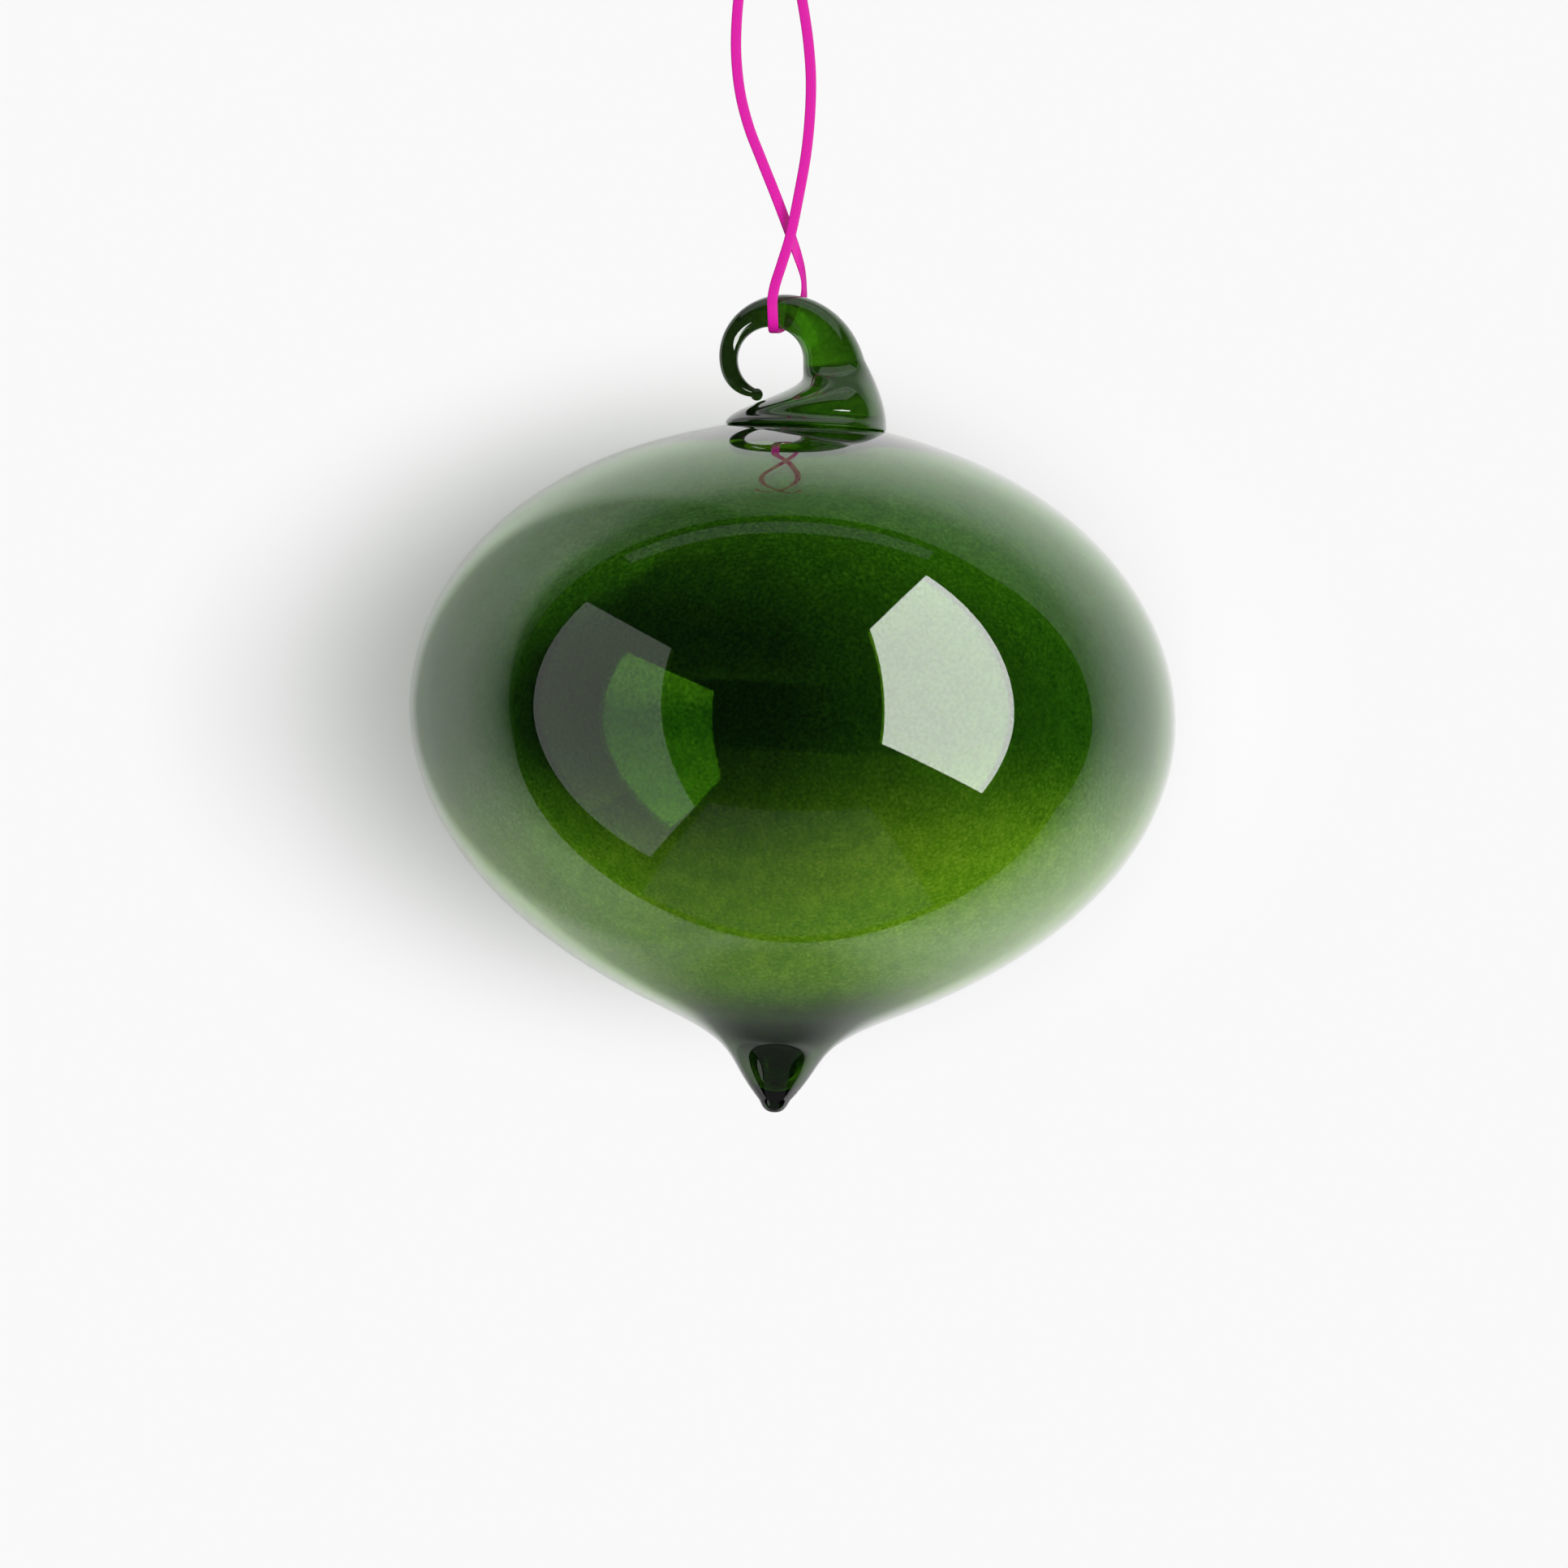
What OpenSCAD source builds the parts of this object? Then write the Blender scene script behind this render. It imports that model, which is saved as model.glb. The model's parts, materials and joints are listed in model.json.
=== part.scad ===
// Onion-shaped glass bauble with a drawn glass hook, hung on a narrow ribbon loop.
// Millimetres, +Z up. The origin is the top of the inside of the ribbon loop, under its knot.

/* [Glass body] */
// Greatest diameter of the blown glass
belly_d = 80; // [60:1:110]
// Height of the crown above the belly
crown_h = 30.5; // [24:0.5:42]
// Thickness of the blown wall
wall = 1.5; // [0.8:0.1:2.4]
// Radius of the neck opening, where the glass left the pipe
neck_r = 5; // [3:0.1:6.5]
// Lean of the glass, with its crown towards +X
lean = 2.7; // [0:0.1:5]

/* [Drawn point] */
// Radius at which the belly turns into the point
shoulder_r = 12; // [9:0.5:16]
// Depth of that turn below the belly
shoulder_drop = 31; // [28:0.5:38]
// Slope of the glass at that turn, from level
shoulder_slope = 23; // [16:1:30]
// Depth of the end of the point below the belly
point_drop = 39.9; // [37:0.1:52]
// Radius of the end of the point
point_r = 1.8; // [1.4:0.1:3]
// Slope of the point just above its end
point_slope = 49; // [40:1:65]
// Radius of the drop of glass on the end
drop_r = 1.5; // [1:0.05:1.8]

/* [Hook] */
// Radius of the opening of the eye
eye_r = 3.4; // [2.8:0.1:4.2]
// Thickness of the hook at the root of the eye
root_d = 6.4; // [5:0.1:8]
// Thickness of the hook at its thin end
end_d = 1; // [0.7:0.1:1.4]
// Angle through which the hook curls round the eye
curl_angle = 242; // [200:1:246]
// How far the thin end swings out before it comes in to its bead
end_swing = 0.4; // [0:0.05:0.6]
// Radius of the bead on the thin end
bead_r = 0.6; // [0.55:0.05:0.75]
// Height of the bead above the inner side of the foot
bead_gap = 0.36; // [0.3:0.02:0.6]
// Radius of the foot of the hook
foot_r = 8.4; // [7.6:0.1:12]
// Offset of the foot from the hanging line, towards +X
foot_x = 3.7; // [2:0.1:5]
// Height of the bottom of the eye above the seat of the foot
foot_h = 4; // [3.4:0.1:6.6]
// Height of the rounded edge of the foot
foot_edge = 0.7; // [0.3:0.1:1]

/* [Ribbon] */
// Width of the ribbon
ribbon_w = 1.1; // [0.8:0.05:1.3]
// Thickness of the ribbon
ribbon_t = 0.45; // [0.2:0.05:0.55]
// Distance from the top of the loop down to the inside of the eye
hang_drop = 44; // [43.9:0.05:44.1]
// Radius of the knot
knot_r = 1.7; // [1.4:0.1:2.4]
// Height of the knot
knot_h = 3; // [2.4:0.1:4]

/* [Hidden] */

glass_green = [0.10, 0.30, 0.06];
ribbon_pink = [0.91, 0.16, 0.69];

// Places worked out from the hanging line
belly_r = belly_d / 2;
eye_z = -hang_drop - eye_r;
seat_r = foot_r - foot_edge / 2;
seat_h = crown_h * sqrt(1 - pow(seat_r / belly_r, 2));
seat_z = eye_z - eye_r - foot_h;

// Handles of the two curves below the belly, as shares of the run that each curve makes
belly_handle = 0.23;
shoulder_handle = 0.93;
draw_handle = 0.90;
point_handle = 0.55;

// Steps along the curves and round the drawn glass
arc_steps = 16;
belly_steps = 20;
point_steps = 14;
glass_sides = 24;
foot_steps = 12;
curl_steps = 40;
turn_steps = 96;

// Route of the ribbon: down in front of the bar of the eye, under it and up again behind
ribbon_route = [
    [0.7, -0.1, 0.6], [1.2, -0.2, -1.2], [2, -0.3, -4], [2.7, -0.4, -7],
    [3.3, -0.5, -10], [3.9, -0.6, -14], [4.2, -0.7, -18], [4.1, -0.8, -22],
    [3.7, -0.9, -26], [3, -0.9, -30], [2.1, -1, -34.4], [1.2, -1.3, -37.4],
    [0.5, -1.8, -39.6], [0.2, -2.1, -41.2], [0.2, -2.2, -42.4], [0.25, -1.8, -43.6],
    [0.3, -1, -44.3], [0.45, 0.1, -44.5], [0.8, 1.3, -44.3], [1.6, 2.5, -43.6],
    [2.65, 3.2, -42.4], [3.35, 3.3, -41.1], [3.5, 2.9, -39.8], [3.4, 2.4, -38.5],
    [3, 1.8, -37], [2.1, 1.1, -34.4], [0.6, 0.8, -30.4], [-1, 0.7, -26.4],
    [-2.3, 0.6, -23], [-3.2, 0.5, -19.4], [-3.6, 0.4, -15.4], [-3.5, 0.3, -11.4],
    [-3.1, 0.2, -8], [-2.4, 0.1, -5], [-1.5, 0.1, -2], [-0.7, 0.1, 0.6]
];
left_tail_route = [
    [-0.6, 0.1, 2.4], [-1.2, 0.1, 3.9], [-2.7, 0.1, 4.7], [-4.4, 0.1, 4.1],
    [-5.4, 0.1, 2.1], [-5.8, 0.1, -0.5], [-6, 0.1, -3]
];
right_tail_route = [
    [0.6, -0.1, 2.4], [1.3, -0.3, 4], [2.8, -0.7, 4.6], [4.3, -0.9, 3.8],
    [5.1, -1, 1.8], [5.4, -1, -0.6], [5.5, -1, -2.2]
];

// First and last points of the route that lie against the bar of the eye
bight_first = 13;
bight_last = 20;
route_steps = 2;

// A point on the cubic curve that runs from a towards b and arrives at d from c
function curve_point(a, b, c, d, t) =
    pow(1 - t, 3) * a + 3 * pow(1 - t, 2) * t * b + 3 * (1 - t) * t * t * c + pow(t, 3) * d;

// The direction of that curve
function curve_run(a, b, c, d, t) =
    pow(1 - t, 2) * (b - a) + 2 * (1 - t) * t * (c - b) + t * t * (d - c);

// The direction square to a run, towards the inside of the glass
function inward(run) = [run[1], -run[0]] / norm(run);

// A direction that goes outwards and upwards at a slope from level
function slope_run(angle) = [cos(angle), sin(angle)];

// The ends and handles of the curve from the belly to the shoulder, as radius and height
belly_end = [belly_r, 0];
shoulder_end = [shoulder_r, -shoulder_drop];
belly_out = belly_end - [0, belly_handle * shoulder_drop];
shoulder_in = shoulder_end + shoulder_handle * (belly_r - shoulder_r) * slope_run(shoulder_slope);

// The ends and handles of the curve from the shoulder to the end of the point
point_end = [point_r, -point_drop];
point_run = shoulder_r - point_r;
shoulder_out = shoulder_end - draw_handle * point_run * slope_run(shoulder_slope);
point_in = point_end + point_handle * point_run * slope_run(point_slope);

// An arc of the crown from the neck to the belly, for the outside or the inside of the wall
function crown_arc(radius, height, from_r) =
    let (first = acos(from_r / radius))
    [for (i = [0:arc_steps]) let (a = first * (1 - i / arc_steps)) [radius * cos(a), height * sin(a)]];

// The outside and inside of the glass from the belly down
function belly_outside() = [for (i = [1:belly_steps])
    curve_point(belly_end, belly_out, shoulder_in, shoulder_end, i / belly_steps)];
function belly_inside() = [for (i = [1:belly_steps]) let (t = i / belly_steps)
    curve_point(belly_end, belly_out, shoulder_in, shoulder_end, t)
        + wall * inward(curve_run(belly_end, belly_out, shoulder_in, shoulder_end, t))];
function point_outside() = [for (i = [1:point_steps])
    curve_point(shoulder_end, shoulder_out, point_in, point_end, i / point_steps)];

// The rounded bottom of the hollow, from the shoulder to the axis
function hollow_floor() =
    let (first = shoulder_end + wall * inward(-slope_run(shoulder_slope)))
    let (low = first - first[0] / 2 * [1, tan(shoulder_slope)])
    let (last = [0, low[1]])
    [for (i = [1:point_steps]) let (t = i / point_steps)
        pow(1 - t, 2) * first + 2 * (1 - t) * t * low + t * t * last];

function reversed(list) = [for (i = [len(list) - 1:-1:0]) list[i]];

function glass_outline() = concat(
    [[neck_r, seat_h]],
    crown_arc(belly_r, crown_h, seat_r), belly_outside(), point_outside(),
    [[0, -point_drop]],
    reversed(concat(crown_arc(belly_r - wall, crown_h - wall, neck_r), belly_inside(), hollow_floor()))
);

// Puts what is modelled about the axis of the glass, from its belly, into the hanging frame
module on_glass_axis() {
    translate([foot_x, 0, seat_z]) rotate([0, lean, 0]) translate([0, 0, -seat_h]) children();
}

// A closed solid over a row of rings, each with as many points as the first
module skin(rings) {
    sides = len(rings[0]);
    last = (len(rings) - 1) * sides;
    walls = [for (k = [0:len(rings) - 2], i = [0:sides - 1])
        let (a = k * sides + i, b = k * sides + (i + 1) % sides)
        each [[a, b + sides, b], [a, a + sides, b + sides]]];
    first_cap = [for (i = [0:sides - 1]) i];
    last_cap = [for (i = [sides - 1:-1:0]) last + i];
    polyhedron([for (ring = rings) each ring], concat([first_cap], walls, [last_cap]));
}

// A round ring of the drawn hook: its centre and half-width, in the plane of the eye, and its tilt
function glass_ring(x, z, radius, tilt) =
    [for (i = [0:glass_sides - 1]) let (a = 360 * i / glass_sides)
        [x + radius * cos(a) * cos(tilt), radius * sin(a), z + radius * cos(a) * sin(tilt)]];

// The hook thins evenly as it is drawn out
function hook_d(angle) = root_d * pow(end_d / root_d, angle / curl_angle);

// The thin end swings out over the last quarter of the curl
function swing(angle) =
    let (from = curl_angle * 3 / 4)
    angle < from ? 0 : end_swing * pow(sin(180 * (angle - from) / (curl_angle - from)), 2);

// Distance of the middle of the hook from the centre of the eye
function hook_reach(angle) = eye_r + hook_d(angle) / 2 + swing(angle);

function curl_ring(angle) = let (reach = hook_reach(angle))
    glass_ring(reach * cos(angle), eye_z + reach * sin(angle), hook_d(angle) / 2, angle);

// The height of the flat by which the bead sits on the thin end, and its centre from the centre of the eye
flat_at = sqrt(pow(bead_r, 2) - pow(end_d / 2, 2));
bead_x = hook_reach(curl_angle) * cos(curl_angle) - flat_at * sin(curl_angle);
bead_z = hook_reach(curl_angle) * sin(curl_angle) + flat_at * cos(curl_angle);

// Smooth step from 0 to 1, and the place at which it has a given height
function eased(t) = t * t * (3 - 2 * t);
function eased_place(height) = 0.5 - sin(asin(1 - 2 * height) / 3);

// The inner side of the foot stays upright at first, so that it passes under the bead
foot_fall = eye_z - seat_z - foot_edge;
foot_spread = eye_r - foot_x + foot_r;
bead_level = (bead_r + bead_gap - bead_z) / foot_fall;
bead_place = eased_place((eye_r - bead_x) / foot_spread);
upright_part = max(0, (bead_level - bead_place) / (1 - bead_place));

// The two sides of the foot, from the root of the eye, at 0, down to its edge, at 1
function foot_inner(t) = eye_r - foot_spread * eased(max(0, (t - upright_part) / (1 - upright_part)));
function foot_outer(t) =
    eye_r + root_d + (foot_x + foot_r - eye_r - root_d) * sin(90 * t);

function foot_ring(t) = glass_ring((foot_inner(t) + foot_outer(t)) / 2, eye_z - t * foot_fall,
    (foot_outer(t) - foot_inner(t)) / 2, -lean * t);

// The rounded edge under the foot, from its widest ring, at 0, to its seat, at 1
function edge_ring(t) = glass_ring(foot_x, seat_z + foot_edge * (1 - sin(90 * t)),
    seat_r + (foot_r - seat_r) * cos(90 * t), -lean);

module glass_shell() {
    color(glass_green) on_glass_axis() rotate_extrude($fn = turn_steps) polygon(glass_outline());
}

module point_drop() {
    color(glass_green) on_glass_axis() translate([0, 0, -point_drop]) rotate_extrude($fn = turn_steps)
        intersection() {
            circle(drop_r, $fn = turn_steps);
            translate([0, -drop_r]) square(drop_r);
        }
}

module hook_foot() {
    rings = concat([for (i = [0:foot_steps]) foot_ring(i / foot_steps)], [edge_ring(0.5), edge_ring(1)]);
    color(glass_green) skin(reversed(rings));
}

module hook_curl() {
    color(glass_green) skin([for (i = [0:curl_steps]) curl_ring(curl_angle * i / curl_steps)]);
}

module curl_bead() {
    color(glass_green) translate([bead_x, 0, eye_z + bead_z]) rotate([0, -curl_angle, 0])
        difference() {
            sphere(bead_r, $fn = 48);
            translate([-bead_r, -bead_r, -flat_at - 2 * bead_r]) cube(2 * bead_r);
        }
}

// A point of the smooth route between two of its points
function route_point(route, i, t) =
    let (last = len(route) - 1)
    let (a = route[max(i - 1, 0)], b = route[i], c = route[min(i + 1, last)], d = route[min(i + 2, last)])
    0.5 * (2 * b + t * (c - a) + t * t * (2 * a - 5 * b + 4 * c - d) + t * t * t * (3 * b - a - 3 * c + d));

function smooth_route(route) = concat(
    [for (i = [0:len(route) - 2], k = [0:route_steps - 1]) route_point(route, i, k / route_steps)],
    [route[len(route) - 1]]
);

function unit(v) = v / norm(v);

// A flat eight-sided ring of ribbon, whose width lies as near to X as its run allows
function ribbon_ring(path, k) =
    let (run = unit(path[min(k + 1, len(path) - 1)] - path[max(k - 1, 0)]))
    let (across = unit([1, 0, 0] - run[0] * run), through = cross(run, across))
    let (half_w = ribbon_w / 2, half_t = ribbon_t / 2, edge = ribbon_t / 4)
    [for (p = [[half_w, edge], [half_w - edge, half_t], [edge - half_w, half_t], [-half_w, edge],
            [-half_w, -edge], [edge - half_w, -half_t], [half_w - edge, -half_t], [half_w, -edge]])
        path[k] + p[0] * across + p[1] * through];

// The stretch of ribbon between two points of its route
module ribbon_stretch(route, first, last) {
    path = smooth_route(route);
    color(ribbon_pink) skin([for (k = [first * route_steps:last * route_steps]) ribbon_ring(path, k)]);
}

module ribbon_front_strand() { ribbon_stretch(ribbon_route, 0, bight_first); }

module ribbon_bight() { ribbon_stretch(ribbon_route, bight_first, bight_last); }

module ribbon_back_strand() { ribbon_stretch(ribbon_route, bight_last, len(ribbon_route) - 1); }

module ribbon_knot() {
    round_r = knot_r / 2;
    color(ribbon_pink) rotate_extrude($fn = turn_steps) union() {
        square([knot_r - round_r, knot_h]);
        translate([0, round_r]) square([knot_r, knot_h - 2 * round_r]);
        translate([knot_r - round_r, round_r]) circle(round_r, $fn = 48);
        translate([knot_r - round_r, knot_h - round_r]) circle(round_r, $fn = 48);
    }
}

module ribbon_tails() {
    ribbon_stretch(left_tail_route, 0, len(left_tail_route) - 1);
    ribbon_stretch(right_tail_route, 0, len(right_tail_route) - 1);
}

glass_shell();
point_drop();
hook_foot();
hook_curl();
curl_bead();
ribbon_front_strand();
ribbon_bight();
ribbon_back_strand();
ribbon_knot();
ribbon_tails();
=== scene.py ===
import json
import math

import bpy
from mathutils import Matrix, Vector


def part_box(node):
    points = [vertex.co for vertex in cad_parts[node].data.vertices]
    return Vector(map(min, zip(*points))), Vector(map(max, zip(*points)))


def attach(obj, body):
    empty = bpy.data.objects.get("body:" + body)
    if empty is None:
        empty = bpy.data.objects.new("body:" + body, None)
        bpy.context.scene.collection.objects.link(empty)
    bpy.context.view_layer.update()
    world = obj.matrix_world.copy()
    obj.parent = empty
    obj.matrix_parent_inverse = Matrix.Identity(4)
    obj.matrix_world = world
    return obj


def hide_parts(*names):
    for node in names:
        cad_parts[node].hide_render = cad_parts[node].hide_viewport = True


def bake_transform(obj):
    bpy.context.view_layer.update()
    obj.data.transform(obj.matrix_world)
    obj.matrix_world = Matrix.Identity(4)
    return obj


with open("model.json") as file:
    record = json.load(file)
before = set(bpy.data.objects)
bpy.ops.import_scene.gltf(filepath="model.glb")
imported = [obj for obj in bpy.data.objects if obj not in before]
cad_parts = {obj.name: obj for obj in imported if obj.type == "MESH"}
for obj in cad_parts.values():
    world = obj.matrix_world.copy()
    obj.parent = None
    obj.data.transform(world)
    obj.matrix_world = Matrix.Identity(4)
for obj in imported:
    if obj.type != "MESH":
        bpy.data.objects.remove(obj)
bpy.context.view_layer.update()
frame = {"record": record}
scene = bpy.context.scene
scene.view_settings.view_transform = "Standard"

# Camera
# It looks straight along Y at the middle of the picture, from so far off that the bauble shows almost
# without perspective. The eye of the hook places the view, and the width of the belly gives its scale.
picture_pixels = 1932
belly_pixels = 944
eye_pixel = Vector((949.5, 443))
camera_distance = 0.9

mounts = {mount["name"]: mount for mount in frame["record"]["mounts"]}
eye_centre = Vector(mounts["hook_eye"]["pos_m"])
shell_low, shell_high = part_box("glass_shell")
belly_radius = (shell_high.y - shell_low.y) / 2
pixel = 2 * belly_radius / belly_pixels
middle_pixel = picture_pixels / 2

camera = bpy.data.objects.new("camera", bpy.data.cameras.new("camera"))
scene.collection.objects.link(camera)
scene.camera = camera
camera.location = (
    eye_centre.x + (middle_pixel - eye_pixel.x) * pixel,
    -camera_distance,
    eye_centre.z - (middle_pixel - eye_pixel.y) * pixel,
)
camera.rotation_euler = (math.radians(90), 0, 0)
camera.data.lens = camera.data.sensor_width * camera_distance / (picture_pixels * pixel)

# Ribbon
# One length of narrow woven satin, about a millimetre wide. It comes down from the knot in front
# of the bar of the eye, passes under the bar and goes up again behind it, turning edge-on there.
MM = 0.001
ribbon_width = 1.1 * MM
ribbon_thickness = 0.3 * MM
ribbon_corners = 20
edge_power = 0.35
face_power = 0.6
route_steps = 8
ribbon_route = [
    (0.7, -0.1, 0.6), (1.2, -0.2, -1.2), (2, -0.3, -4), (2.7, -0.4, -7),
    (3.3, -0.5, -10), (3.9, -0.6, -14), (4.2, -0.7, -18), (4.1, -0.8, -22),
    (3.7, -0.9, -26), (3, -0.9, -30), (2.1, -1, -34.4), (1.2, -1.3, -37.4),
    (0.5, -1.8, -39.6), (0.2, -2.1, -41.2), (0.2, -2.2, -42.4), (0.25, -1.8, -43.6),
    (0.3, -1, -44.3), (0.45, 0.1, -44.5), (0.8, 1.3, -44.3), (1.6, 2.5, -43.6),
    (2.65, 3.2, -42.4), (3.35, 3.3, -41.1), (3.5, 2.9, -39.8), (3.4, 2.4, -38.5),
    (3, 1.8, -37), (2.1, 1.1, -34.4), (0.6, 0.8, -30.4), (-1, 0.7, -26.4),
    (-2.3, 0.6, -23), (-3.2, 0.5, -19.4), (-3.6, 0.4, -15.4), (-3.5, 0.3, -11.4),
    (-3.1, 0.2, -8), (-2.4, 0.1, -5), (-1.5, 0.1, -2), (-0.7, 0.1, 0.6),
]
turned_point = 22.5
turned_points = 4
edge_turn = math.radians(70)

weft_pitch = 0.16 * MM
warp_threads = 34
weft_share = 0.6
gap_pink = (0.54, 0.007, 0.28, 1)
thread_pink = (0.77, 0.012, 0.41, 1)
gap_roughness = 0.62
thread_smoothing = 0.14
thread_rise = 0.03 * MM
rise_strength = 0.25
satin_gloss = 0.12


def smooth_route(points):
    """A smooth line through the points of a route, in metres."""
    points = [Vector(point) * MM for point in points]
    line = []
    for i in range(len(points) - 1):
        a, b = points[max(i - 1, 0)], points[i]
        c, d = points[i + 1], points[min(i + 2, len(points) - 1)]
        for k in range(route_steps):
            t = k / route_steps
            line.append((2 * b + t * (c - a) + t * t * (2 * a - 5 * b + 4 * c - d)
                         + t ** 3 * (3 * b - a - 3 * c + d)) / 2)
    return line + [points[-1]]


def rounded(angle, power):
    """A cosine that stays longer near its ends, for an oblong with soft corners."""
    value = math.cos(angle)
    return math.copysign(abs(value) ** power, value)


def weave(name, line, width, thickness, turn=None, slant=0, closed=False):
    """A flat strip swept along a line, with its length and width kept as its UV map."""
    count = len(line)
    points = []
    travelled = [0]
    for k in range(count):
        before = line[k - 1] if closed or k else line[0]
        after = line[(k + 1) % count] if closed else line[min(k + 1, count - 1)]
        run = (after - before).normalized()
        across = (Vector((1, 0, 0)) - run.x * run).normalized()
        through = run.cross(across)
        angle = turn(k) if turn else 0
        across, through = (math.cos(angle) * across + math.sin(angle) * through,
                           math.cos(angle) * through - math.sin(angle) * across)
        cut = slant if k == count - 1 else 0
        for i in range(ribbon_corners):
            a = 2 * math.pi * i / ribbon_corners
            side = width / 2 * rounded(a, edge_power)
            points.append(line[k] + side * across + cut * side * run
                          + thickness / 2 * rounded(a - math.pi / 2, face_power) * through)
        travelled.append(travelled[-1] + (after - line[k]).length)
    rings = count if closed else count - 1
    faces = []
    spots = []
    for k in range(rings):
        for i in range(ribbon_corners):
            j = (i + 1) % ribbon_corners
            following = (k + 1) % count
            faces.append([k * ribbon_corners + i, k * ribbon_corners + j,
                          following * ribbon_corners + j, following * ribbon_corners + i])
            low, high = i / ribbon_corners, (i + 1) / ribbon_corners
            spots += [(travelled[k], low), (travelled[k], high),
                      (travelled[k + 1], high), (travelled[k + 1], low)]
    if not closed:
        last = rings * ribbon_corners
        faces.append(list(range(ribbon_corners))[::-1])
        faces.append(list(range(last, last + ribbon_corners)))
        spots += [(0, 0.5)] * ribbon_corners + [(travelled[rings], 0.5)] * ribbon_corners
    mesh = bpy.data.meshes.new(name)
    mesh.from_pydata(points, [], faces)
    mesh.uv_layers.new(name="strip").data.foreach_set("uv", [n for spot in spots for n in spot])
    mesh.polygons.foreach_set("use_smooth", [True] * len(faces))
    strip = bpy.data.objects.new(name, mesh)
    scene.collection.objects.link(strip)
    return strip


class Value:
    """A number, colour or direction that changes over a surface: one output of a node."""

    def __init__(self, tree, socket):
        self.tree = tree
        self.socket = socket

    def node(self, kind, settings=None, inputs=None, output=0):
        """Adds a node of any type, makes its settings, fills its sockets and gives one output."""
        added = self.tree.nodes.new(kind)
        for name, setting in (settings or {}).items():
            setattr(added, name, setting)
        for name, given in (inputs or {}).items():
            if isinstance(given, Value):
                self.tree.links.new(given.socket, added.inputs[name])
            else:
                added.inputs[name].default_value = given
        return Value(self.tree, added.outputs[output])

    def maths(self, operation, first, second=0.0):
        """What a Math node makes of one or two numbers."""
        return self.node("ShaderNodeMath", {"operation": operation}, {0: first, 1: second})

    def __add__(self, other):
        return self.maths("ADD", self, other)

    def __sub__(self, other):
        return self.maths("SUBTRACT", self, other)

    def __rsub__(self, other):
        return self.maths("SUBTRACT", other, self)

    def __mul__(self, other):
        return self.maths("MULTIPLY", self, other)

    __radd__ = __add__
    __rmul__ = __mul__

    def coordinate(self, axis):
        """How far a place lies along X, Y or Z."""
        return self.node("ShaderNodeSeparateXYZ", inputs={0: self}, output=axis)

    def wave(self, turns):
        """A wave between 0 and 1, with so many turns for each unit of this value."""
        return self.maths("SINE", self * (2 * math.pi * turns)) * 0.5 + 0.5

    def between(self, low, high):
        """The colour from low, where this value is 0, to high, where it is 1."""
        return self.node("ShaderNodeMix", {"data_type": "RGBA"}, {0: self, 6: low, 7: high}, output=2)

    def times(self, other):
        """The product of two colours."""
        return self.node("ShaderNodeMix", {"data_type": "RGBA", "blend_type": "MULTIPLY"},
                         {0: 1.0, 6: self, 7: other}, output=2)

    def stepped(self, low, high):
        """0 below low, 1 above high, and smooth between them."""
        return self.node("ShaderNodeMapRange", {"interpolation_type": "SMOOTHSTEP"},
                         {0: self, 1: low, 2: high})

    def feed(self, shader, name):
        """Links this value to a socket of a shader."""
        self.tree.links.new(self.socket, shader.inputs[name])


def new_finish(name, coordinates="Object"):
    """A new material, its one Principled shader and the coordinates that its pattern reads."""
    material = bpy.data.materials.new(name)
    material.use_nodes = True
    tree = material.node_tree
    place = Value(tree, tree.nodes.new("ShaderNodeTexCoord").outputs[coordinates])
    return material, tree.nodes["Principled BSDF"], place


def satin_finish():
    """Pink satin: fine weft ribs over long warp threads, a little darker between the threads."""
    material, shader, place = new_finish("pink_satin", "UV")
    weft = place.coordinate("X").wave(1 / weft_pitch)
    warp = place.coordinate("Y").wave(warp_threads)
    cloth = weft * weft_share + warp * (1 - weft_share)
    cloth.between(gap_pink, thread_pink).feed(shader, "Base Color")
    (gap_roughness - cloth * thread_smoothing).feed(shader, "Roughness")
    bump = place.node("ShaderNodeBump",
                      inputs={"Height": cloth, "Strength": rise_strength, "Distance": thread_rise})
    bump.feed(shader, "Normal")
    shader.inputs["Specular IOR Level"].default_value = satin_gloss
    return material


def back_turn(k):
    """How far the ribbon is turned on its edge, behind the hook."""
    away = abs(k / route_steps - turned_point) / turned_points
    return edge_turn * math.cos(min(away, 1) * math.pi / 2) ** 2


pink_satin = satin_finish()
ribbon_line = smooth_route(ribbon_route)
ribbon = weave("ribbon", ribbon_line, ribbon_width, ribbon_thickness, back_turn)
ribbon.data.materials.append(pink_satin)
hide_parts("ribbon_front_strand", "ribbon_bight", "ribbon_back_strand")
knot_low, knot_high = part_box("ribbon_knot")
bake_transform(ribbon)

# Knot and tails
# The two ends of the ribbon are tied together in a tight overhand knot over the top of the loop,
# and their ends, cut aslant, fall to either side of it.
knot_turns = 96
knot_strip = 1.0 * MM
knot_fold = 0.55 * MM
tail_slant = 0.7
left_tail_route = [
    (-0.6, 0.1, 2.4), (-1.2, 0.1, 3.9), (-2.7, 0.1, 4.7), (-4.4, 0.1, 4.1),
    (-5.4, 0.1, 2.1), (-5.8, 0.1, -0.5), (-6, 0.1, -3),
]
right_tail_route = [
    (0.6, -0.1, 2.4), (1.3, -0.3, 4), (2.8, -0.7, 4.6), (4.3, -0.9, 3.8),
    (5.1, -1, 1.8), (5.4, -1, -0.6), (5.5, -1, -2.2),
]
knot_centre = (knot_low + knot_high) / 2
knot_reach = (knot_high.z - knot_low.z) / 2 - knot_strip / 2


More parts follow.
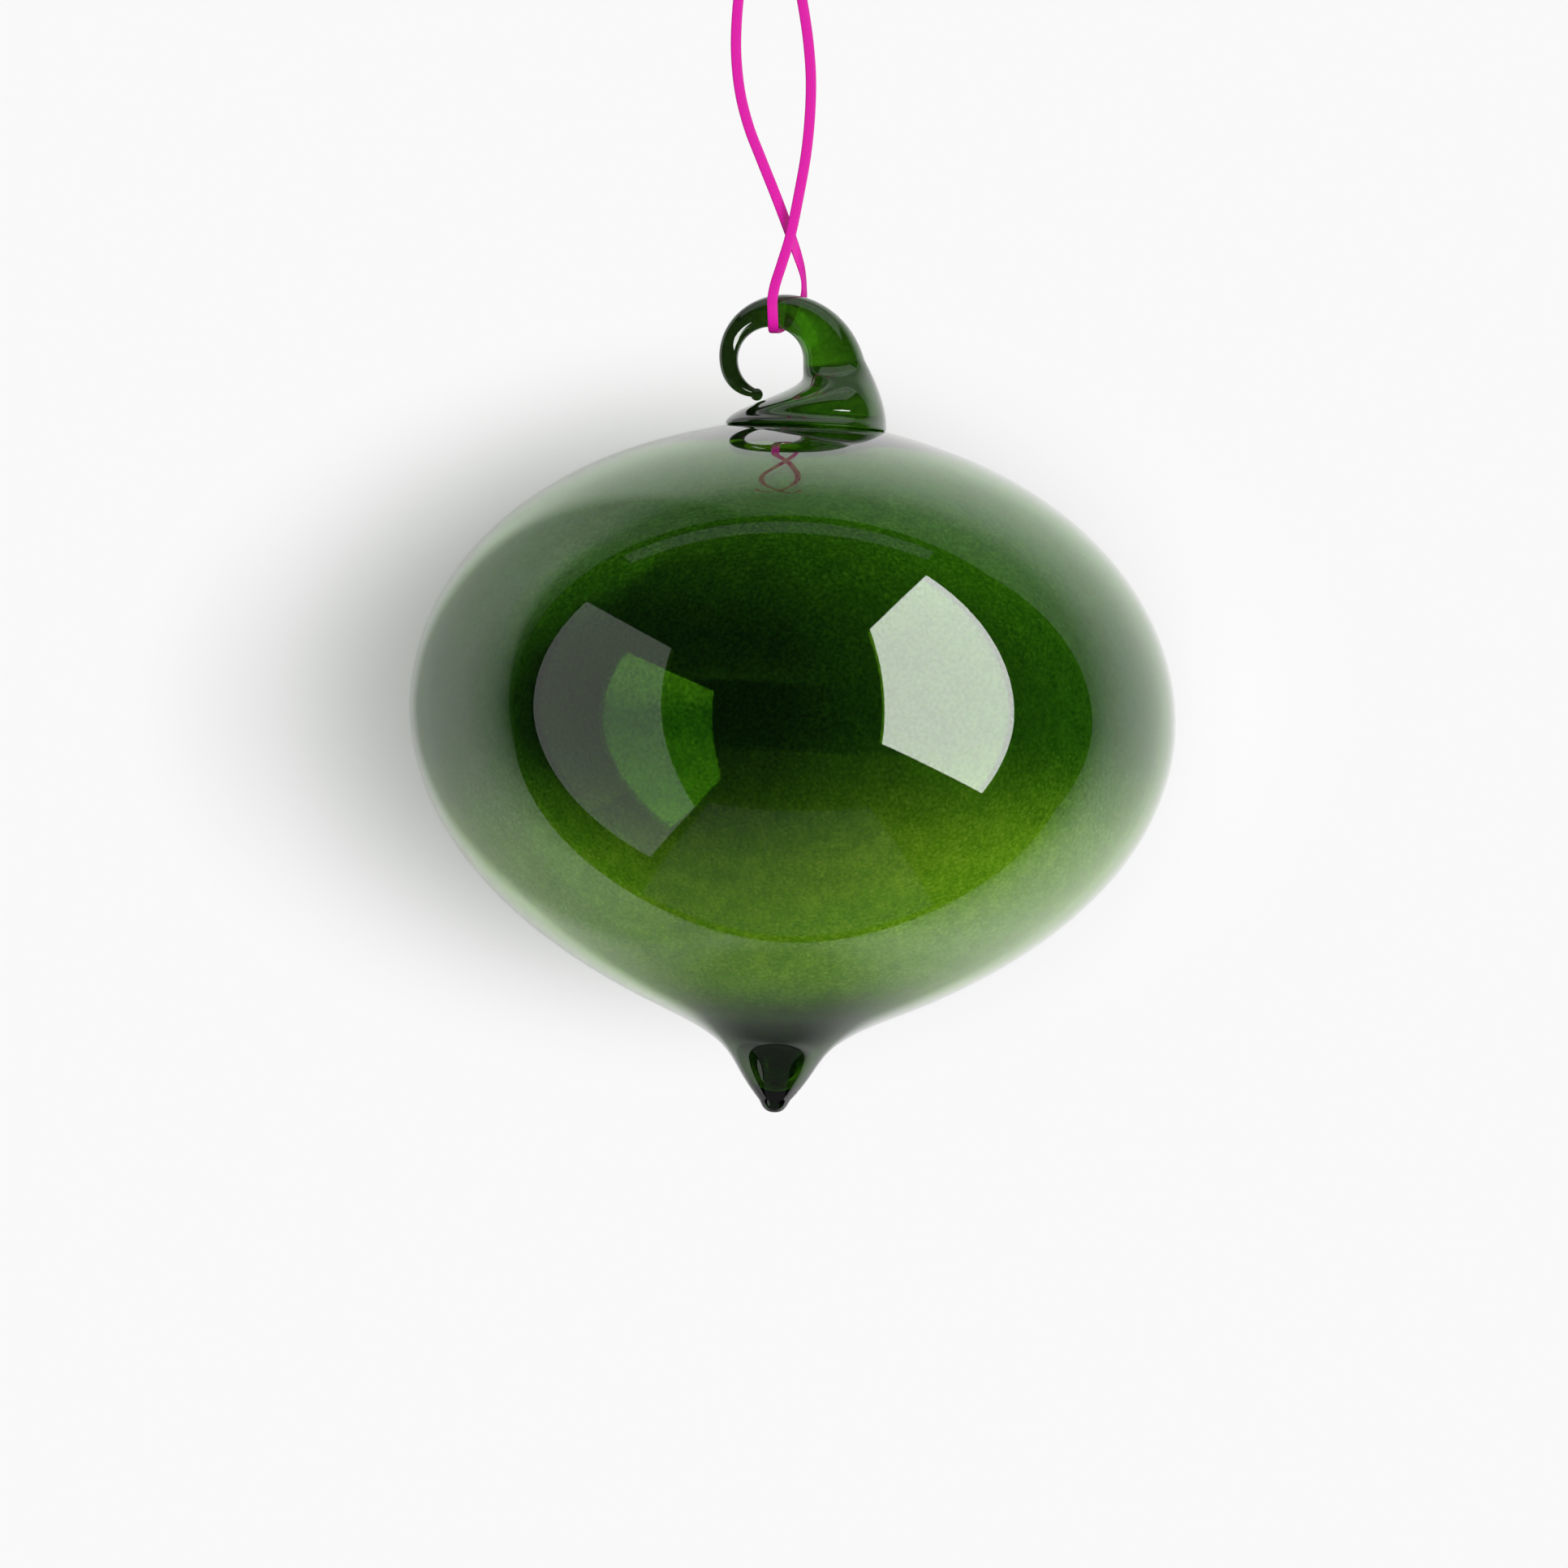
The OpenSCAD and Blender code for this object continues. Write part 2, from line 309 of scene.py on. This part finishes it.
def knot_point(turn):
    """A point of the overhand knot, which lies in the plane of the loop."""
    a = 2 * math.pi * turn
    flat = Vector((math.sin(a) + 2 * math.sin(2 * a), 0, math.cos(a) - 2 * math.cos(2 * a)))
    return knot_centre + knot_reach / 3 * flat - Vector((0, knot_fold * math.sin(3 * a), 0))


knot_line = [knot_point(i / knot_turns) for i in range(knot_turns)]
left_line = smooth_route(left_tail_route)
right_line = smooth_route(right_tail_route)
knot = weave("ribbon_knot_tied", knot_line, knot_strip, knot_fold, closed=True)
left_tail = weave("ribbon_tail_left", left_line, ribbon_width, ribbon_thickness, slant=tail_slant)
right_tail = weave("ribbon_tail_right", right_line, ribbon_width, ribbon_thickness, slant=-tail_slant)
for piece in (knot, left_tail, right_tail):
    piece.data.materials.append(pink_satin)
    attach(piece, "hanger")
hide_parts("ribbon_knot")
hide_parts("ribbon_tails")
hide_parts("ribbon_tails")

ribbon_length = sum((b - a).length for a, b in zip(ribbon_line, ribbon_line[1:]))

# Glass shell
# The blown body: deep green glass with a fine grain of colour, a wall of a millimetre and a half and
# an open neck at the crown. It is drawn out to a solid point below, and the last of the hot glass
# gathers there in a small drop, with a fine groove above it. It leans a little on its hook.
lean = math.radians(2.7)
wall = 1.5 * MM
crown_height = 30.5 * MM
crown_rise = 0.25 * MM
rise_reach = 17 * MM
neck_radius = 5 * MM
shoulder = Vector((12, -31)) * MM
shoulder_slope = math.radians(23)
point_end = Vector((1.8, -39.9)) * MM
point_slope = math.radians(49)
belly_handle = 0.23
shoulder_handle = 0.93
draw_handle = 0.90
point_handle = 0.55
floor_handle = 2 / 3
groove = 0.06 * MM
drop_end = -41.4 * MM
drop_run = 0.55 * MM
drop_round = 1.25 * MM
foot_edge = 0.7 * MM
foot_height = 4 * MM
eye_radius = 3.4 * MM
crown_steps = 28
belly_steps = 32
draw_steps = 24
hollow_steps = 15
floor_steps = 8
drop_steps = 16
spin_steps = 160
merge_distance = 0.001 * MM
shell_crease = math.radians(40)

glass_green = (0.66, 0.82, 0.0, 1)
glass_index = 1.5
glass_polish = 0.012
glass_coat = 0.4
lamplight_tint = (0.51, 0.59, 0.37, 1)
fine_grain = 2600
broad_grain = 420
grain_detail = 2
fine_share = 0.75
grain_low = 0.38
grain_high = 0.62
grain_dark = (0.50, 0.68, 0.36, 1)
grain_light = (1, 1, 1, 1)
shell_density = 1030
shell_clearness = 1

# The colours of the glass from the point up, and the heights over the belly where each begins and is full.
# Besides the glass's own green, they are partly painted light and shade: lighter below the middle, where
# the paper behind is lit, darker round the middle, over the bauble's own shadow, and lighter on the crown.
point_tint = (0.08, 0.15, 0.04, 1)
lower_tint_and_light = (1, 1, 0.9, 1)
lower_start = -33 * MM
lower_full = -27.5 * MM
middle_tint_and_shade = (0.32, 0.49, 0.22, 1)
middle_start = -17 * MM
middle_full = -1 * MM
crown_tint_and_light = (0.46, 0.66, 0.3, 1)
crown_start = 4 * MM
crown_full = 20 * MM

foot_low, foot_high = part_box("hook_foot")
foot_radius = (foot_high.y - foot_low.y) / 2
foot_centre = (foot_low.x + foot_high.x) / 2
seat_radius = foot_radius - foot_edge / 2
seat_height = crown_height * math.sqrt(1 - (seat_radius / belly_radius) ** 2)
seat_z = eye_centre.z - eye_radius - foot_height
belly = Vector((foot_centre - seat_height * math.sin(lean), 0, seat_z - seat_height * math.cos(lean)))


def crown_arc(radius, height, first_radius):
    """An arc of the crown from the neck to the belly, as radius and height."""
    first = math.acos(first_radius / radius)
    angles = [first * (1 - i / crown_steps) for i in range(crown_steps + 1)]
    return [Vector((radius * math.cos(a), height * math.sin(a))) for a in angles]


def raised(point):
    """A point of the crown, which is drawn up a little towards the foot of the hook."""
    near = max(0, (rise_reach - point.x) / (rise_reach - seat_radius))
    return point + Vector((0, crown_rise * near ** 2))


def bend(a, b, c, d, steps, inset=0):
    """A curve from a towards b that arrives at d from c, set in by the wall if asked."""
    points = []
    for i in range(1, steps + 1):
        t = i / steps
        run = (1 - t) ** 2 * (b - a) + 2 * (1 - t) * t * (c - b) + t * t * (d - c)
        inward = Vector((run.y, -run.x)).normalized()
        points.append((1 - t) ** 3 * a + 3 * (1 - t) ** 2 * t * b + 3 * (1 - t) * t * t * c
                      + t ** 3 * d + inset * inward)
    return points


def slope_run(slope):
    """The direction of a slope in the outline, up and away from the axis."""
    return Vector((math.cos(slope), math.sin(slope)))


def glass_outline():
    """The outline of the wall: up its inside from the floor to the neck, and down its outside."""
    widest = Vector((belly_radius, 0))
    belly_out = widest + Vector((0, belly_handle * shoulder.y))
    shoulder_in = shoulder + shoulder_handle * (widest.x - shoulder.x) * slope_run(shoulder_slope)
    draw = shoulder.x - point_end.x
    shoulder_out = shoulder - draw_handle * draw * slope_run(shoulder_slope)
    point_in = point_end + point_handle * draw * slope_run(point_slope)
    crown = [raised(point) for point in crown_arc(belly_radius, crown_height, seat_radius)]
    outside = ([Vector((neck_radius, seat_height + crown_rise))] + crown
               + bend(widest, belly_out, shoulder_in, shoulder, belly_steps)
               + bend(shoulder, shoulder_out, point_in, point_end, draw_steps))
    inside = (crown_arc(belly_radius - wall, crown_height - wall, neck_radius)
              + bend(widest, belly_out, shoulder_in, shoulder, belly_steps, inset=wall)
              + bend(shoulder, shoulder_out, point_in, point_end, draw_steps, inset=wall)[:hollow_steps])
    hollow_side = inside[-1]
    hollow_end = Vector((0, hollow_side.y - hollow_side.x))
    hollow_turn = Vector((hollow_side.x / 2, hollow_end.y))
    floor = bend(hollow_side, hollow_side.lerp(hollow_turn, floor_handle),
                 hollow_end.lerp(hollow_turn, floor_handle), hollow_end, floor_steps)
    drop_start = point_end - Vector((groove, groove))
    drop = bend(drop_start, drop_start - drop_run * slope_run(point_slope),
                Vector((drop_round, drop_end)), Vector((0, drop_end)), drop_steps)
    return (inside + floor)[::-1] + outside + [drop_start] + drop


def start_piece(name):
    """A new object in edit mode, alone selected, that is one point at the origin."""
    bpy.ops.object.select_all(action="DESELECT")
    bpy.ops.mesh.primitive_plane_add(size=MM)
    piece = bpy.context.object
    piece.name = name
    piece.data.name = name
    bpy.ops.object.mode_set(mode="EDIT")
    bpy.ops.mesh.select_mode(type="VERT")
    bpy.ops.mesh.select_all(action="SELECT")
    bpy.ops.mesh.merge(type="CENTER")
    return piece


def draw_outline(points):
    """Extrudes the selected point along an outline in the plane of the axis."""
    place = Vector((0, 0, 0))
    for i, point in enumerate(points):
        step = Vector((point.x, 0, point.y)) - place
        if i == 0:
            bpy.ops.transform.translate(value=step)
        else:
            bpy.ops.mesh.extrude_region_move(TRANSFORM_OT_translate={"value": step})
        place += step


def close_mesh():
    """Merges the doubles at seams and poles, points the faces outwards and leaves edit mode."""
    bpy.ops.mesh.select_all(action="SELECT")
    bpy.ops.mesh.remove_doubles(threshold=merge_distance)
    bpy.ops.mesh.normals_make_consistent(inside=False)
    bpy.ops.object.mode_set(mode="OBJECT")


def set_on_axis(piece):
    """Puts a spun piece, modelled from the belly, on the leaning axis of the glass."""
    piece.data.transform(piece.matrix_world)
    for vertex in piece.data.vertices:
        vertex.co.z -= seat_height
    piece.rotation_euler = (0, lean, 0)
    piece.location = (foot_centre, 0, seat_z)
    bpy.ops.object.transform_apply(location=True, rotation=True, scale=True)


def grain_noise(place, scale):
    """Specks of colour in the glass, so many to the metre."""
    return place.node("ShaderNodeTexNoise",
                      inputs={"Vector": place, "Scale": scale, "Detail": grain_detail})


def green_glass(name, density, clearness, tint):
    """Polished green glass with a fine grain, darker where it is thicker. Lamps shine through it."""
    material, shader, place = new_finish(name)
    tree = material.node_tree
    fine = grain_noise(place, fine_grain)
    broad = grain_noise(place, broad_grain)
    grain = fine * fine_share + broad * (1 - fine_share)
    grain_tint = grain.stepped(grain_low, grain_high).between(grain_dark, grain_light)
    grain_tint.times(tint(place)).feed(shader, "Base Color")
    shader.inputs["Roughness"].default_value = glass_polish
    shader.inputs["IOR"].default_value = glass_index
    shader.inputs["Transmission Weight"].default_value = clearness
    shader.inputs["Coat Weight"].default_value = glass_coat
    shader.inputs["Coat Roughness"].default_value = glass_polish
    path = tree.nodes.new("ShaderNodeLightPath")
    shadow = Value(tree, path.outputs["Is Shadow Ray"])
    diffuse = Value(tree, path.outputs["Is Diffuse Ray"])
    lamplight = place.node("ShaderNodeBsdfTransparent", inputs={"Color": lamplight_tint})
    lamp_ray = place.maths("MAXIMUM", shadow, diffuse)
    surface = place.node("ShaderNodeMixShader",
                         inputs={0: lamp_ray, 1: Value(tree, shader.outputs[0]), 2: lamplight})
    surface.feed(tree.nodes["Material Output"], "Surface")
    depth = place.node("ShaderNodeVolumeAbsorption", inputs={"Color": glass_green, "Density": density})
    depth.feed(tree.nodes["Material Output"], "Volume")
    return material


def shell_tint_and_shade(place):
    """The colour is darkest round the middle, lighter below it and on the crown, partly painted shade and
    light; dark at the point.
    """
    height = place.coordinate("Z")
    above_point = height.stepped(belly.z + lower_start, belly.z + lower_full)
    above_lower = height.stepped(belly.z + middle_start, belly.z + middle_full)
    above_middle = height.stepped(belly.z + crown_start, belly.z + crown_full)
    upper_tint = above_middle.between(middle_tint_and_shade, crown_tint_and_light)
    wall_tint = above_lower.between(lower_tint_and_light, upper_tint)
    return above_point.between(point_tint, wall_tint)


shell = start_piece("bauble_shell")
draw_outline(glass_outline())
bpy.ops.mesh.select_all(action="SELECT")
bpy.ops.mesh.spin(steps=spin_steps, angle=2 * math.pi, center=(0, 0, 0), axis=(0, 0, 1))
close_mesh()
set_on_axis(shell)
bpy.ops.object.shade_smooth_by_angle(angle=shell_crease)
shell.data.materials.append(green_glass("shell_glass", shell_density, shell_clearness, shell_tint_and_shade))
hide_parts("glass_shell", "point_drop")
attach(shell, "bauble")

# Hook
# A gather of the same glass seals the neck. A rod is drawn out of it while it is soft, thinning as
# it curls round the eye, and its end melts back into a bead. It is one row of rings from seat to bead,
# and each ring is a centre, half a width, half a depth and a tilt.
root_thickness = 6.4 * MM
curl_thickness = 1.8 * MM
end_thickness = 1.0 * MM
thinning = 2.5
taper_start = 0.8
curl_angle = math.radians(242)
bead_radius = 0.66 * MM
foot_lip = 0.15 * MM
upright_part = 0.25
flare_start = 0.05
flare_end = 0.76
skirt_start = 0.84
belt_depth = 7.4 * MM
ring_corners = 64
foot_rings = 28
edge_rings = 5
curl_rings = 120
bead_rings = 12
hook_crease = math.radians(60)

hook_density = 250
hook_clearness = 0.8
curl_tint = (0.018, 0.04, 0.010, 1)
curl_side = -3 * MM
# The root's lighter colour is partly painted light, where light from the right shines into the hook.
root_tint_and_light = (0.07, 0.22, 0.012, 1)
root_side = 6 * MM


def eased(start, end, t):
    """0 up to start, 1 from end on, and smooth between them."""
    share = min(1, max(0, (t - start) / (end - start)))
    return share * share * (3 - 2 * share)


def foot_ring(t):
    """A ring of the foot, from the root of the eye, at 0, to its edge, at 1."""
    spread = eye_radius - foot_centre + foot_radius
    inner = eye_radius - spread * eased(upright_part, 1, t)
    root = eye_radius + root_thickness
    outer = root + (foot_centre + foot_radius - root) * math.sin(math.pi / 2 * t)
    fall = eye_centre.z - seat_z - crown_rise - foot_lip
    depth = (root_thickness / 2 + (belt_depth - root_thickness / 2) * eased(flare_start, flare_end, t)
             + (foot_radius - belt_depth) * eased(skirt_start, 1, t))
    return Vector(((inner + outer) / 2, 0, eye_centre.z - t * fall)), (outer - inner) / 2, depth, -lean * t


def edge_ring(t):
    """A ring of the rounded edge under the foot, from its widest, at 0, to its seat, at 1."""
    rise = foot_lip * (1 - math.sin(math.pi / 2 * t))
    radius = seat_radius + (foot_radius - seat_radius) * math.cos(math.pi / 2 * t)
    return Vector((foot_centre, 0, seat_z + crown_rise + rise)), radius, radius, -lean


def curl_ring(angle):
    """A ring of the curl, which thins quickly at first as it is drawn out, and tapers again at its end."""
    drawn = angle / curl_angle
    late = max(0, (drawn - taper_start) / (1 - taper_start))
    thickness = (curl_thickness + (root_thickness - curl_thickness) * (1 - drawn) ** thinning
                 - (curl_thickness - end_thickness) * late ** 2)
    middle = eye_centre + (eye_radius + thickness / 2) * Vector((math.cos(angle), 0, math.sin(angle)))
    return middle, thickness / 2, thickness / 2, angle


def bead_ring(t):
    """A ring of the bead, from the thin end, at 0, to its far side, at 1."""
    end, radius, _, tilt = curl_ring(curl_angle)
    onward = Vector((-math.sin(curl_angle), 0, math.cos(curl_angle)))
    first = math.acos(radius / bead_radius)
    angle = -first + (math.pi / 2 + first) * t
    ahead = bead_radius * (math.sin(first) + math.sin(angle))
    radius = bead_radius * math.cos(angle)
    return end + ahead * onward, radius, radius, tilt


def draw_rings(rings):
    """Extrudes the selected ring from each place to the next, and turns and scales it there."""
    centre, width, depth, tilt = rings[0]
    for next_centre, next_width, next_depth, next_tilt in rings[1:]:
        bpy.ops.mesh.extrude_region_move(TRANSFORM_OT_translate={"value": next_centre - centre})
        wider = next_width / width
        bpy.ops.transform.resize(value=(wider, next_depth / depth, wider), center_override=next_centre)
        bpy.ops.transform.rotate(value=next_tilt - tilt, orient_axis="Y", center_override=next_centre)
        centre, width, depth, tilt = next_centre, next_width, next_depth, next_tilt


def hook_tint_and_light(place):
    """The curl is almost black; the root and foot, to the right, are lighter: painted light from the
    right.
    """
    root = place.coordinate("X").stepped(curl_side, root_side)
    return root.between(curl_tint, root_tint_and_light)


hook_ring_row = ([edge_ring(1 - i / edge_rings) for i in range(edge_rings)]
                 + [foot_ring(1 - i / foot_rings) for i in range(foot_rings)]
                 + [curl_ring(curl_angle * i / curl_rings) for i in range(curl_rings)]
                 + [bead_ring(i / bead_rings) for i in range(bead_rings)])
seat_centre, first_radius, _, seat_tilt = hook_ring_row[0]
bpy.ops.object.select_all(action="DESELECT")
bpy.ops.mesh.primitive_circle_add(vertices=ring_corners, radius=first_radius, fill_type="NGON",
                                  location=seat_centre, rotation=(0, -seat_tilt, 0))
hook = bpy.context.object
hook.name = "glass_hook"
hook.data.name = "glass_hook"
bpy.ops.object.transform_apply(location=True, rotation=True, scale=True)
bpy.ops.object.mode_set(mode="EDIT")
bpy.ops.mesh.select_mode(type="FACE")
bpy.ops.mesh.select_all(action="SELECT")
draw_rings(hook_ring_row)
bpy.ops.mesh.merge(type="CENTER")
close_mesh()
bpy.ops.object.shade_smooth_by_angle(angle=hook_crease)
hook.data.materials.append(green_glass("hook_glass", hook_density, hook_clearness, hook_tint_and_light))
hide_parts("hook_foot", "hook_curl", "curl_bead")
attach(hook, "bauble")

# Backdrop and floor
# A wall of white paper behind the bauble, as far off as the bauble swings, and a pale floor well below.
# Both are seen from their front alone, so that they hide nothing from behind or from below. The camera
# sees the bauble's shadow on the wall; the rest of the paper is evenly bright for it.
backdrop_gap = 64 * MM
backdrop_left = 3.6
backdrop_right = 0.5
backdrop_up = 0.6
backdrop_down = 0.3
floor_drop = 0.35
floor_size = 3.0
shadow_lift = 0.22

# The shadow that the camera sees, and the painted light and shade on the paper: a painted pool of light
# that darkens far off, and painted shadows under the bauble and left of it. Their places are in metres
# from the belly.
shadow_centre = (-5 * MM, 0, 2 * MM)
shadow_stretch = (1, 0, 1.6)
shadow_edge = 38 * MM
shadow_end = 70 * MM
facing_blend = 0.5
aslant_start = 0.3
aslant_end = 0.6
painted_light_centre = (-0.6, 0, -0.05)
painted_light_stretch = (1, 0, 2.7)
painted_light_edge = 0.72
painted_light_end = 1.1
under_centre = (-0.01, 0, -0.165)
under_stretch = (1, 0, 0.4)
under_edge = 0.022
under_end = 0.085
under_top = -0.05
under_full = -0.085
left_start = -0.055
left_full = -0.08
left_turn = 0.045
left_end = 0.22


def grey(level):
    return (level, level, level, 1)


paper_white = grey(0.947)
# Painted light and shade on the paper: a lighter middle, darker far parts and two painted shadows.
painted_lit_paper = grey(0.97)
painted_far_shade = grey(0.36)
painted_under_shadow = grey(0.22)
painted_left_shadow = grey(0.5)
no_shade = grey(1)


def oval_distance(place, centre, stretch):
    """How far a place is from a centre, measured in an oval in the plane of the wall."""
    away = place.node("ShaderNodeVectorMath", {"operation": "SUBTRACT"}, {0: place, 1: centre})
    oval = place.node("ShaderNodeVectorMath", {"operation": "MULTIPLY"}, {0: away, 1: stretch})
    return place.node("ShaderNodeVectorMath", {"operation": "LENGTH"}, {0: oval}, output="Value")


def painted_paper_shade(from_belly):
    """White paper with painted shade: darker far off, and painted shadows left of the bauble and under it.
    """
    across = from_belly.coordinate("X")
    height = from_belly.coordinate("Z")
    from_painted_light = oval_distance(from_belly, painted_light_centre, painted_light_stretch)
    paper = from_painted_light.stepped(painted_light_edge, painted_light_end).between(painted_lit_paper, painted_far_shade)
    from_under = oval_distance(from_belly, under_centre, under_stretch)
    clear_of_under = from_belly.maths("MAXIMUM", from_under.stepped(under_edge, under_end),
                                      height.stepped(under_full, under_top))
    clear_of_left = from_belly.maths("MAXIMUM", across.stepped(left_full, left_start),
                                     (0 - across).stepped(left_turn, left_end))
    painted_under_patch = clear_of_under.between(painted_under_shadow, no_shade)
    painted_left_patch = clear_of_left.between(painted_left_shadow, no_shade)
    return paper.times(painted_under_patch).times(painted_left_patch)


def pale_paper(name, near_lift, far_lift):
    """Matt paper, mirrored by the glass with its painted shade; for the camera a share of its light is its
    own.
    """
    material, shader, place = new_finish(name)
    tree = material.node_tree
    shader.inputs["Roughness"].default_value = 1
    shader.inputs["Specular IOR Level"].default_value = 0
    from_belly = place.node("ShaderNodeVectorMath", {"operation": "SUBTRACT"}, {0: place, 1: belly})
    painted_paper_shade(from_belly).feed(shader, "Base Color")
    from_shadow = oval_distance(from_belly, shadow_centre, shadow_stretch)
    facing = place.node("ShaderNodeLayerWeight", inputs={"Blend": facing_blend}, output="Facing")
    clear_of_shadow = place.maths("MAXIMUM", from_shadow.stepped(shadow_edge, shadow_end),
                                  facing.stepped(aslant_start, aslant_end))
    lift = clear_of_shadow * (far_lift - near_lift) + near_lift
    path = tree.nodes.new("ShaderNodeLightPath")
    camera_ray = Value(tree, path.outputs["Is Camera Ray"])
    behind = Value(tree, tree.nodes.new("ShaderNodeNewGeometry").outputs["Backfacing"])
    glow = place.node("ShaderNodeEmission", inputs={"Color": paper_white})
    front = place.node("ShaderNodeMixShader",
                       inputs={0: camera_ray * lift, 1: Value(tree, shader.outputs[0]), 2: glow})
    clear = place.node("ShaderNodeBsdfTransparent")
    sheet = place.node("ShaderNodeMixShader", inputs={0: behind, 1: front, 2: clear})
    sheet.feed(tree.nodes["Material Output"], "Surface")
    return material


def stage_sheet(name, corners, material):
    """A flat sheet of the studio, which isn't part of the object."""
    mesh = bpy.data.meshes.new(name)
    mesh.from_pydata(corners, [], [range(len(corners))])
    mesh.materials.append(material)
    sheet = bpy.data.objects.new(name, mesh)
    scene.collection.objects.link(sheet)
    return sheet


left, right = -backdrop_left, backdrop_right
low, high = belly.z - backdrop_down, belly.z + backdrop_up
stage_sheet("backdrop", [(left, backdrop_gap, low), (right, backdrop_gap, low),
                         (right, backdrop_gap, high), (left, backdrop_gap, high)],
            pale_paper("backdrop_paper", near_lift=shadow_lift, far_lift=1))
ground = shell_low.z - floor_drop
half = floor_size / 2
floor = stage_sheet("floor", [(-half, -half, ground), (half, -half, ground),
                              (half, half, ground), (-half, half, ground)],
                    pale_paper("floor_paper", near_lift=1, far_lift=1))
floor.visible_glossy = False
floor.visible_diffuse = False

# Lamps and room
# A large soft key in front lights the paper and the ribbon, and isn't mirrored. A softbox on the right
# and a reflector on the left are mirrored by the shell, two dim cards by all the glass, and two lamps by
# the hook alone. The room is dark, but white where the camera looks straight at it, or through the glass.
room_grey = 0.02


def lamp(name, place, aim, width, height, radiance, roll=0, shows=True, lights=True):
    """A rectangular soft lamp of a given brightness that faces a point."""
    data = bpy.data.lights.new(name, "AREA")
    data.shape = "RECTANGLE"
    data.size, data.size_y = width, height
    data.energy = radiance * math.pi * width * height
    box = bpy.data.objects.new(name, data)
    scene.collection.objects.link(box)
    box.location = place
    facing = (Vector(aim) - Vector(place)).to_track_quat("-Z", "Y").to_matrix().to_4x4()
    box.rotation_euler = facing.to_euler()
    box.rotation_euler.rotate_axis("Z", roll)
    box.visible_camera = False
    box.visible_glossy = shows
    box.visible_transmission = shows
    box.visible_diffuse = lights
    return box


key_bearing = math.radians(16)
key_height = math.radians(-6)
key_distance = 1.0
key_place = belly + key_distance * Vector((math.sin(key_bearing) * math.cos(key_height),
                                           -math.cos(key_bearing) * math.cos(key_height),
                                           math.sin(key_height)))
lamp("key", key_place, belly, width=0.92, height=0.82, radiance=6.8, shows=False)

softbox_place = belly + Vector((0.45, -0.53, 0.25))
softbox = lamp("softbox", softbox_place, softbox_place - Vector((1, 0, 0)),
               width=0.7, height=1.1, radiance=8, roll=math.radians(-4), lights=False)
reflector_place = belly + Vector((-0.45, -0.324, -0.17))
reflector = lamp("reflector", reflector_place, reflector_place + Vector((1, 0, 0)),
                 width=0.492, height=1.15, radiance=0.8, lights=False)
shaded = bpy.data.collections.new("shaded_from_softbox")
shaded.objects.link(hook)
shaded.collection_objects[0].light_linking.link_state = "EXCLUDE"
softbox.light_linking.receiver_collection = shaded
reflector.light_linking.receiver_collection = shaded

low_card_place = belly + Vector((-0.02, -0.155, -0.45))
lamp("low_card", low_card_place, low_card_place + Vector((0, 0, 1)),
     width=0.45, height=0.49, radiance=0.13, lights=False)
top_card_place = belly + Vector((-0.03, 0.0, 0.6))
lamp("top_card", top_card_place, top_card_place - Vector((0, 0, 1)),
     width=0.7, height=0.06, radiance=0.25, lights=False)

glint_place = eye_centre + Vector((0.37, -0.52, -0.63))
glint = lamp("glint", glint_place, glint_place - Vector((0.37, -0.52, 0)),
             width=0.6, height=0.96, radiance=13, lights=False)
over_place = eye_centre + Vector((0, -0.08, 0.35))
over_card = lamp("over_card", over_place, eye_centre, width=0.7, height=0.28, radiance=0.6, lights=False)
glinting = bpy.data.collections.new("seen_in_hook")
glinting.objects.link(hook)
glint.light_linking.receiver_collection = glinting
over_card.light_linking.receiver_collection = glinting

world = bpy.data.worlds.new("room")
scene.world = world
world.use_nodes = True
tree = world.node_tree
path = tree.nodes.new("ShaderNodeLightPath")
camera_ray = Value(tree, path.outputs["Is Camera Ray"])
through = Value(tree, path.outputs["Is Transmission Ray"])
mirrored = Value(tree, path.outputs["Ray Depth"]) - Value(tree, path.outputs["Transmission Depth"])
straight = camera_ray.maths("LESS_THAN", mirrored, 1)
white = camera_ray.maths("MAXIMUM", camera_ray, through * straight)
white.between(grey(room_grey), paper_white).feed(tree.nodes["Background"], "Color")
